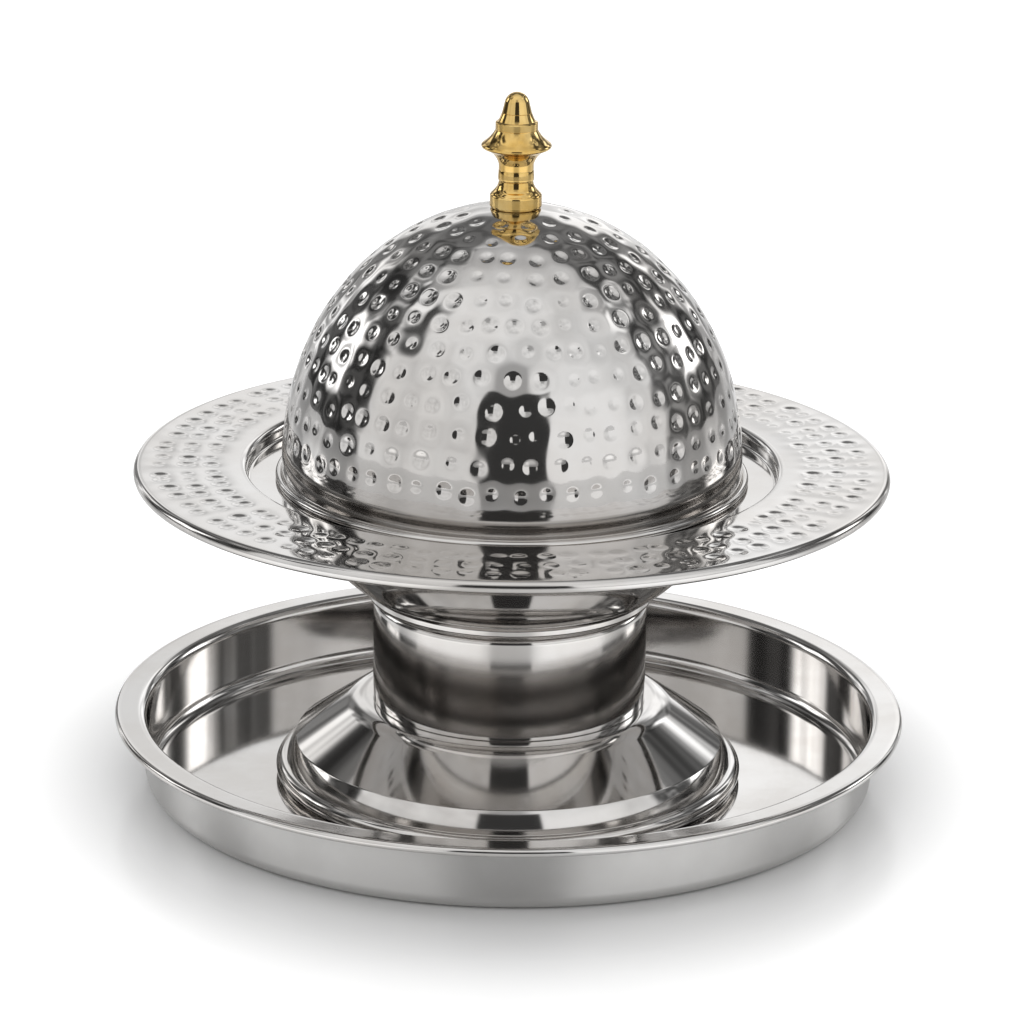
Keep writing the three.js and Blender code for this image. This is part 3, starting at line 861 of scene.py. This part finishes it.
def recess_cutter():
    """A cross that narrows upward, a little below the head's flat end to start with."""
    half = RECESS_WIDTH / 2
    outline = []
    for quarter in range(4):
        a = quarter * math.pi / 2
        for x, y in ((half, -half), (RECESS_ARM, -half), (RECESS_ARM, half)):
            outline.append((x * math.cos(a) - y * math.sin(a), x * math.sin(a) + y * math.cos(a)))
    corners, outline = len(outline), np.array(outline)
    low = np.column_stack([outline * RECESS_MOUTH, np.full(corners, -RECESS_START)])
    high = np.column_stack([outline * RECESS_END, np.full(corners, RECESS_DEPTH)])
    ring = np.arange(corners)
    following = (ring + 1) % corners
    walls = np.column_stack([ring, following, following + corners, ring + corners])
    mesh = bpy.data.meshes.new("recess")
    mesh.from_pydata(((np.vstack([low, high]) + [0, 0, seat("finial_screw")]) * MM).tolist(), [],
                     [*walls.tolist(), ring[::-1].tolist(), (ring + corners).tolist()])
    return bpy.data.objects.new("recess", mesh)


cutter = recess_cutter()
bpy.context.scene.collection.objects.link(cutter)
cut = pan_head_screw.modifiers.new("recess", "BOOLEAN")
cut.operation, cut.solver, cut.object = "DIFFERENCE", "EXACT", cutter
cut_head = pan_head_screw.evaluated_get(bpy.context.evaluated_depsgraph_get())
solid = bpy.data.meshes.new_from_object(cut_head)
pan_head_screw.modifiers.clear()
pan_head_screw.data = solid
solid.set_sharp_from_angle(angle=SHARP)
bpy.data.objects.remove(cutter)
print("screw with its recess:", len(solid.polygons), "faces")

# %% [markdown]
# ## Writing a finish as sums
#
# A finish is a tree of nodes. Wiring it by hand takes many lines for a simple idea, so a Recipe
# adds one node at a time, settings first and then its sockets. A node group made by hand could be
# reused too, but not with other colours and depths for every metal.

# %% Recipes


class Recipe:
    """The node tree of one finish."""

    def __init__(self, tree):
        self.tree = tree
        tree.nodes.clear()

    def node(self, kind, settings=None, sockets=None):
        """Adds a node of a kind, sets it, then fills its sockets with values, Amounts or links."""
        made = self.tree.nodes.new("ShaderNode" + kind)
        for name, value in (settings or {}).items():
            setattr(made, name, value)
        for name, value in (sockets or {}).items():
            value = value.socket if isinstance(value, Amount) else value
            if isinstance(value, bpy.types.NodeSocket):
                self.tree.links.new(value, made.inputs[name])
            else:
                made.inputs[name].default_value = value
        return made

    def amount(self, kind, settings=None, sockets=None, output=0):
        return Amount(self, self.node(kind, settings, sockets).outputs[output])

    def sum(self, operation, *values):
        return self.amount("Math", {"operation": operation}, dict(enumerate(values)))

    def blend(self, share, low, high):
        """A colour between two, by an Amount from 0 to 1."""
        made = self.node("Mix", {"data_type": "RGBA"}, {0: share, 6: low, 7: high})
        return made.outputs[2]


print("a recipe can:", [name for name in vars(Recipe) if not name.startswith("_")])

# %% [markdown]
# ## Amounts
#
# An Amount is a number that changes over the surface. It can be added, multiplied and limited in
# ordinary Python, and each sum adds its Math node. Colours and vectors never pass through an
# Amount, because a Math node would turn them grey.

# %% Amounts


class Amount:
    """A number that changes over the surface."""

    def __init__(self, recipe, socket):
        self.recipe, self.socket = recipe, socket

    def __add__(self, other):
        return self.recipe.sum("ADD", self, other)

    def __sub__(self, other):
        return self.recipe.sum("SUBTRACT", self, other)

    def __mul__(self, other):
        return self.recipe.sum("MULTIPLY", self, other)

    def __pow__(self, other):
        return self.recipe.sum("POWER", self, other)

    def __rsub__(self, other):
        return self.recipe.sum("SUBTRACT", other, self)

    __radd__, __rmul__ = __add__, __mul__

    def size(self):
        return self.recipe.sum("ABSOLUTE", self)

    def root(self):
        return self.recipe.sum("SQRT", self)

    def rises(self, start, end):
        """0 before start, 1 after end, smooth between."""
        return self.recipe.amount("MapRange", {"interpolation_type": "SMOOTHSTEP"},
                                  {"Value": self, "From Min": start, "From Max": end})

    def within(self, start, end, soft):
        """1 between start and end, with edges that soft on both sides."""
        return self.rises(start - soft, start + soft) * (1 - self.rises(end - soft, end + soft))

    def towards(self, other, share):
        return self + (other - self) * share


def axes(recipe, vector):
    """The three Amounts of a vector socket."""
    parts = recipe.node("SeparateXYZ", None, {0: vector})
    return [Amount(recipe, socket) for socket in parts.outputs]


print("an amount can:", [name for name in vars(Amount) if not name.startswith("_")])

# %% [markdown]
# ## Polished steel
#
# Stainless steel has almost no colour of its own: it is a slightly warm grey mirror, so its look
# is what it mirrors and how sharply. Three things keep it from being a perfect mirror. The
# spinning and buffing wheels leave fine rings, which blur a reflection up and down but not
# sideways: that is the anisotropy, turned a quarter so that it blurs across the rings. The sheet
# is never quite flat, which a slow wave in the bump gives. And wiping leaves faint cloudy patches,
# which change the roughness a little. An image of scratches could do the same, but noise in the
# metal's own radius and height follows every piece.

# %% A metal's recipe
CLOUD_SCALE, CLOUD_GRAIN, WIPED = 17.0, 0.62, (0.35, 0.68)
RING_BLUR = 0.8                # share of the clouds' roughness that the rings add
QUARTER_TURN = 0.25


def metal(name, colours, roughness, cloud, rings, wave=0.0, brushed=0.0, ring_scale=900.0,
          wave_scale=28.0):
    """A metal: two colours mixed in clouds, buffing rings and a slow wave (depths in mm)."""
    made = bpy.data.materials.new(name)
    made.use_nodes = True
    recipe = Recipe(made.node_tree)
    place = recipe.node("TexCoord").outputs["Object"]
    x, y, z = axes(recipe, place)
    radius = (x * x + y * y).root()
    turned_place = recipe.node("CombineXYZ", None, {0: radius, 1: z}).outputs[0]
    clouds = recipe.amount("TexNoise", None, {"Vector": place, "Scale": CLOUD_SCALE, "Detail": 5.0,
                                              "Roughness": CLOUD_GRAIN})
    wiped = clouds.rises(*WIPED)
    lathe_rings = recipe.amount("TexNoise", {"noise_dimensions": "2D"},
                                {"Vector": turned_place, "Scale": ring_scale, "Detail": 3.0})
    slow = recipe.amount("TexNoise", None, {"Vector": place, "Scale": wave_scale, "Detail": 1.0})
    surface = slow * (wave * MM) + lathe_rings * (rings * MM)
    bump = recipe.node("Bump", None, {"Height": surface, "Distance": 1.0, "Strength": 1.0})
    shader = recipe.node("BsdfPrincipled", None, {
        "Base Color": recipe.blend(wiped, *colours), "Metallic": 1.0,
        "Roughness": (wiped * -cloud + (roughness + cloud)
                      + (lathe_rings - 0.5) * (cloud * RING_BLUR)),
        "Anisotropic": brushed, "Anisotropic Rotation": QUARTER_TURN if brushed else 0.0,
        "Normal": bump.outputs[0]})
    recipe.node("OutputMaterial", None, {"Surface": shader.outputs[0]})
    print(f"{name}: roughness {roughness}, {len(recipe.tree.nodes)} nodes")
    return made


print("clouds on the metal:", CLOUD_SCALE, "to a metre")

# %% [markdown]
# ## The steels
#
# All the sheet is one steel, finished in four ways. The hammered pieces are buffed by hand and
# have no lay. Spun ones keep a fine lay from the wheel. The tray is waviest, because its floor is
# a wide flat sheet, and outside it is satin: brushed round on the lathe and never buffed. Nut,
# screw and washers are zinc plated, which is bluer and duller. One finish for all would be quicker
# and would look like plastic.

# %% Steel finishes
STEEL = (0.59, 0.57, 0.55, 1), (0.65, 0.64, 0.63, 1)
SATIN = (0.58, 0.573, 0.562, 1), (0.62, 0.615, 0.605, 1)
PLATING = (0.56, 0.57, 0.58, 1), (0.64, 0.64, 0.63, 1)
hammered_steel = metal("hammered_steel", STEEL, 0.065, 0.025, rings=0.0006, wave=0.02)
spun_steel = metal("spun_steel", STEEL, 0.065, 0.02, rings=0.0010, wave=0.03, brushed=0.35)
tray_inside = metal("tray_inside", STEEL, 0.07, 0.03, rings=0.0012, wave=0.05, brushed=0.35)
satin_steel = metal("satin_steel", SATIN, 0.35, 0.05, rings=0.004, wave=0.04, brushed=0.9,
                    ring_scale=1500.0)
zinc = metal("zinc", PLATING, 0.30, 0.08, rings=0.004)

# %% [markdown]
# ## Brass
#
# The knob is polished brass: a deep yellow mirror, a little browner in cloudy patches where the
# polishing mop pressed less. The same recipe serves, with brass colours and a finer wave. Brass
# could be painted as one yellow, but two that differ a little are what makes it look like metal
# that was handled.

# %% Brass finish
BRASS = (0.58, 0.33, 0.05, 1), (0.84, 0.63, 0.28, 1)
brass = metal("brass", BRASS, 0.07, 0.03, rings=0.002, wave=0.01, wave_scale=90.0)

# %% [markdown]
# ## Dressing the pieces
#
# Each piece stands for its CAD node, rides on the same body and takes its finish. Each could be
# dressed by hand in three calls, but then one is soon forgotten.

# %% Finishes and bodies


def dress(made, node, body, slot, *finishes):
    for finish in finishes:
        made.data.materials.append(finish)
    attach(made, body)
    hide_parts(node)
    print(f"{made.name} stands for {node} and rides on {body}")


dress(tray_sheet, "tray", "tray", "satin_steel", tray_inside, satin_steel)
dress(foot_shell, "foot", "stand", "polished_steel", spun_steel)
dress(column_shell, "column", "stand", "polished_steel", spun_steel)
dress(dish_sheet, "dish", "stand", "hammered_steel", hammered_steel)
dress(stud_threaded, "dish_stud", "stand", "plated_steel", zinc)
dress(stud_washer, "foot_washer", "stand", "plated_steel", zinc)
dress(hex_nut, "foot_nut", "stand", "plated_steel", zinc)
dress(dome_sheet, "lid_dome", "lid", "hammered_steel", hammered_steel)
dress(finial_knob, "finial", "lid", "brass", brass)
dress(dome_washer, "lid_washer", "lid", "plated_steel", zinc)
dress(pan_head_screw, "finial_screw", "lid", "plated_steel", zinc)

# %% [markdown]
# ## Two finishes on the tray
#
# The maker polished the inside and the flange, and left the outside of the wall satin. The tray
# could be cut into two objects, but it is one sheet, so the faces that look down or outward get
# its second finish.

# %% Satin faces
LEANING = 0.3   # how far a face's normal points down or outward where the face counts as outside
count = len(tray_sheet.data.polygons)
centres, normals = np.empty(count * 3, np.float32), np.empty(count * 3, np.float32)
tray_sheet.data.polygons.foreach_get("center", centres)
tray_sheet.data.polygons.foreach_get("normal", normals)
centres, normals = centres.reshape(-1, 3) / MM, normals.reshape(-1, 3)
out = np.hypot(centres[:, 0], centres[:, 1])
outward = (centres[:, :2] * normals[:, :2]).sum(1) / np.maximum(out, ON_AXIS)
satin = (out < TRAY_RIM - 2 * TRAY_BEAD) & ((normals[:, 2] < -LEANING) | (outward > LEANING))
tray_sheet.data.polygons.foreach_set("material_index", satin.astype(np.int32))
print("satin faces on the tray:", int(satin.sum()), "of", count)

# %% [markdown]
# ## The studio that the metal mirrors
#
# Polished metal is drawn by its surroundings, so the studio matters more than the steel. It could
# be built from emitting panels, but a world shader gives the same light without anything to hide.
# It is a bright room. A large white cloth with soft folds hangs in front and overhead, and behind
# it is a wall, part dark and part light. There is a soft window on each side, and straight ahead a
# dark gap in the cloth, where the camera looks through. Narrow dark strips are the gaps beside the
# cloth and the corners of the room: they give the steel the dark lines without which it looks like
# plaster. Directions are a compass angle from the camera and a height above the horizon, in
# degrees.

# %% Patches of the studio
# compass from, to, height from, to, softness, brightness
PATCHES = (
    (-95, -2, 58, 74, 9, 1.12),      # the lamp in the cloth, overhead on the left
    (14, 62, -30, 33, 9, 1.15),      # the cloth's brighter right side
    (-181, -139, -40, 28, 4, 0.95),  # low behind, on the left
    (141, 181, -40, 29, 4, 1.20),    # low behind, on the right
    (-181, -128, 31, 58, 4, 0.16),   # dark above it, on the left
    (130, 181, 33, 58, 4, 0.20),     # and on the right
    (-140, -126, -40, 40, 3, 0.08),  # dark corner behind, on the left
    (131, 143, -40, 40, 3, 0.10),    # dark corner behind, on the right
    (-163, -153, -40, 33, 2, 0.20),  # a narrow dark strip in each bright side behind
    (151, 161, -40, 33, 2, 0.22),
    (-127, -101, -40, 7, 2, 0.10),   # dark below the left window
    (107, 131, -40, 7, 2, 0.12),     # and below the right one
    (-103, -88, -40, 34, 3, 0.06),   # gap beside the cloth, on the left
    (-92, -74, 38, 60, 4, 0.10),     # and its bend over the top
    (86, 109, -40, 34, 4, 0.24),     # gap beside the cloth, on the right
    (-125, -108, 10, 27, 3, 1.90),   # left window
    (112, 129, 10, 29, 3, 1.90),     # right window
    (-12, 12, 33, 50, 5, 0.50),      # the gap's soft upper edge
    (-16, 18.5, -40, 36.5, 1.2, 0.05),  # the gap straight ahead
)
print("studio:", len(PATCHES), "patches")

# %% [markdown]
# ## Lighting the studio
#
# Cloth and wall come first, then each patch is laid over them. Folds and a little clutter to the
# sides are noise, because a perfectly even room draws perfectly even metal. The clutter fades out
# overhead, where noise in directions would show as spokes. The camera itself sees plain white,
# which makes the white background.

# %% Studio light
CLOTH, WALL_DARK, WALL_LIGHT, WALL_BLOTCH = 0.95, 0.13, 0.72, (0.44, 0.56)
EDGE_CURVE, EDGE_SPREAD, EDGE_TURN = 1.3, 0.62, (0.46, 0.52)    # where the cloth ends
FOLD_SCALE, FOLD_DEPTH, FOLD_DARKEST = 3.4, 0.7, 0.65
CLOTH_TURN, CLOTH_LOSS = (-0.1, 0.42), 0.4                      # it darkens away from the front
CLUTTER_SCALE, CLUTTER_BLOTCH, CLUTTER_DEPTH = 8.0, (0.38, 0.62), 1.2
CLUTTER_STARTS, CLUTTER_THINS, CLUTTER_THINNING = (80, 92), (150, 166), 0.65   # degrees of compass
CLUTTER_TOP = (48, 68)                                          # degrees of height
world = bpy.data.worlds.new("studio")
bpy.context.scene.world = world
world.use_nodes = True
studio = Recipe(world.node_tree)
way_out = studio.node("TexCoord").outputs["Generated"]
x, y, z = axes(studio, way_out)
compass = studio.sum("ARCTAN2", x, y * -1.0) * (180 / math.pi)
rise = studio.sum("ARCSINE", z) * (180 / math.pi)
cloth_edge = y + (x.size() ** EDGE_CURVE) * EDGE_SPREAD
folds = studio.amount("TexNoise", None, {"Vector": way_out, "Scale": FOLD_SCALE, "Detail": 2.0})
cloth = (folds * FOLD_DEPTH + FOLD_DARKEST) * (1 - y.rises(*CLOTH_TURN) * CLOTH_LOSS) * CLOTH
wall = folds.rises(*WALL_BLOTCH) * (WALL_LIGHT - WALL_DARK) + WALL_DARK
light = cloth.towards(wall, cloth_edge.rises(*EDGE_TURN))
for start, end, low, high, soft, level in PATCHES:
    light = light.towards(level, compass.within(start, end, soft) * rise.within(low, high, soft))
clutter = studio.amount("TexNoise", None, {"Vector": way_out, "Scale": CLUTTER_SCALE,
                                           "Detail": 1.0})
turned = compass.size()
behind = (turned.rises(*CLUTTER_STARTS) * (1 - turned.rises(*CLUTTER_THINS) * CLUTTER_THINNING)
          * (1 - rise.rises(*CLUTTER_TOP)))
light = light * (1 + (clutter.rises(*CLUTTER_BLOTCH) - 0.5) * behind * CLUTTER_DEPTH)
seen = Amount(studio, studio.node("LightPath").outputs["Is Camera Ray"])
background = studio.node("Background", None, {"Color": light.towards(1.0, seen), "Strength": 1.0})
studio.node("OutputWorld", None, {"Surface": background.outputs[0]})
print("studio shader:", len(world.node_tree.nodes), "nodes")

# %% [markdown]
# ## The floor
#
# The bowl stands on a white glossy board that runs on into the background. Lit only by the studio
# it would render grey, so it glows a little for the camera and in mirrored rays: never on the
# object itself. The glow is painted light. It is missing near the bowl and full further out, and it
# rises sooner to the sides, so a painted shade lies round the tray on top of its real shadow. In
# mirrored rays the glow stops a metre out. It is weak at the sides, which paints shade into what
# the steel mirrors there, and weak straight ahead, a painted shadow of the gap in the cloth. Its
# gloss is what draws the soft streaks of the tray's wall in front of it.

# %% Floor
FLOOR_REACH, FLOOR_SINK = 6.0, 0.00005   # metres
FLOOR_WHITE, FLOOR_ROUGHNESS = 0.88, 0.22
# painted light: no glow near the bowl, full glow further out, which paints shade round the tray
FLOOR_PAINTED_LIGHT = ((0.50, 0.15, 0.245), (0.16, 0.22, 0.36))   # level, metres where it starts and is full
GLOW_STRETCH = 1.4                   # it rises sooner to the sides than to front and back
MIRROR_FADE = (0.5, 1.1)             # metres at which the mirrored glow fades out
# painted shade in mirrored rays: less glow at the sides, and a painted shadow under the gap ahead
GLOW_FRONT, GLOW_GAP = (-82, 82, 14), (-18, 20, 8)   # compass from, to, softness, in degrees
GAP_PAINTED_SHADE, FRONT_GLOW, SIDE_GLOW = 0.85, 0.95, 0.25
board = bpy.data.meshes.new("floor")
corners = [(-FLOOR_REACH, -FLOOR_REACH), (FLOOR_REACH, -FLOOR_REACH),
           (FLOOR_REACH, FLOOR_REACH), (-FLOOR_REACH, FLOOR_REACH)]
board.from_pydata([(a, b, -FLOOR_SINK) for a, b in corners], [], [(0, 1, 2, 3)])
floor = bpy.data.objects.new("floor", board)
bpy.context.scene.collection.objects.link(floor)
glossy_white = bpy.data.materials.new("glossy_white")
glossy_white.use_nodes = True
recipe = Recipe(glossy_white.node_tree)
path = recipe.node("LightPath")
x, y, _ = axes(recipe, recipe.node("TexCoord").outputs["Object"])
out = (x * x * GLOW_STRETCH + y * y).root()
compass = recipe.sum("ARCTAN2", x, y * -1.0) * (180 / math.pi)
front = compass.within(*GLOW_FRONT) * (1 - compass.within(*GLOW_GAP) * GAP_PAINTED_SHADE)
around = front * FRONT_GLOW + SIDE_GLOW
mirrored = Amount(recipe, path.outputs["Is Glossy Ray"]) * (1 - out.rises(*MIRROR_FADE)) * around
seen = mirrored + Amount(recipe, path.outputs["Is Camera Ray"])
# the floor's painted light, rising away from the bowl
glow = seen * sum(out.rises(start, full) * level for level, start, full in FLOOR_PAINTED_LIGHT)
shader = recipe.node("BsdfPrincipled", None, {
    "Base Color": (FLOOR_WHITE, FLOOR_WHITE, FLOOR_WHITE, 1), "Roughness": FLOOR_ROUGHNESS,
    "Emission Color": glow, "Emission Strength": 1.0})
recipe.node("OutputMaterial", None, {"Surface": shader.outputs[0]})
board.materials.append(glossy_white)
print("floor", 2 * FLOOR_REACH, "m across")

# %% [markdown]
# ## Colours as they are
#
# The Standard view shows a colour as it is written.

# %% View
bpy.context.scene.view_settings.view_transform = "Standard"
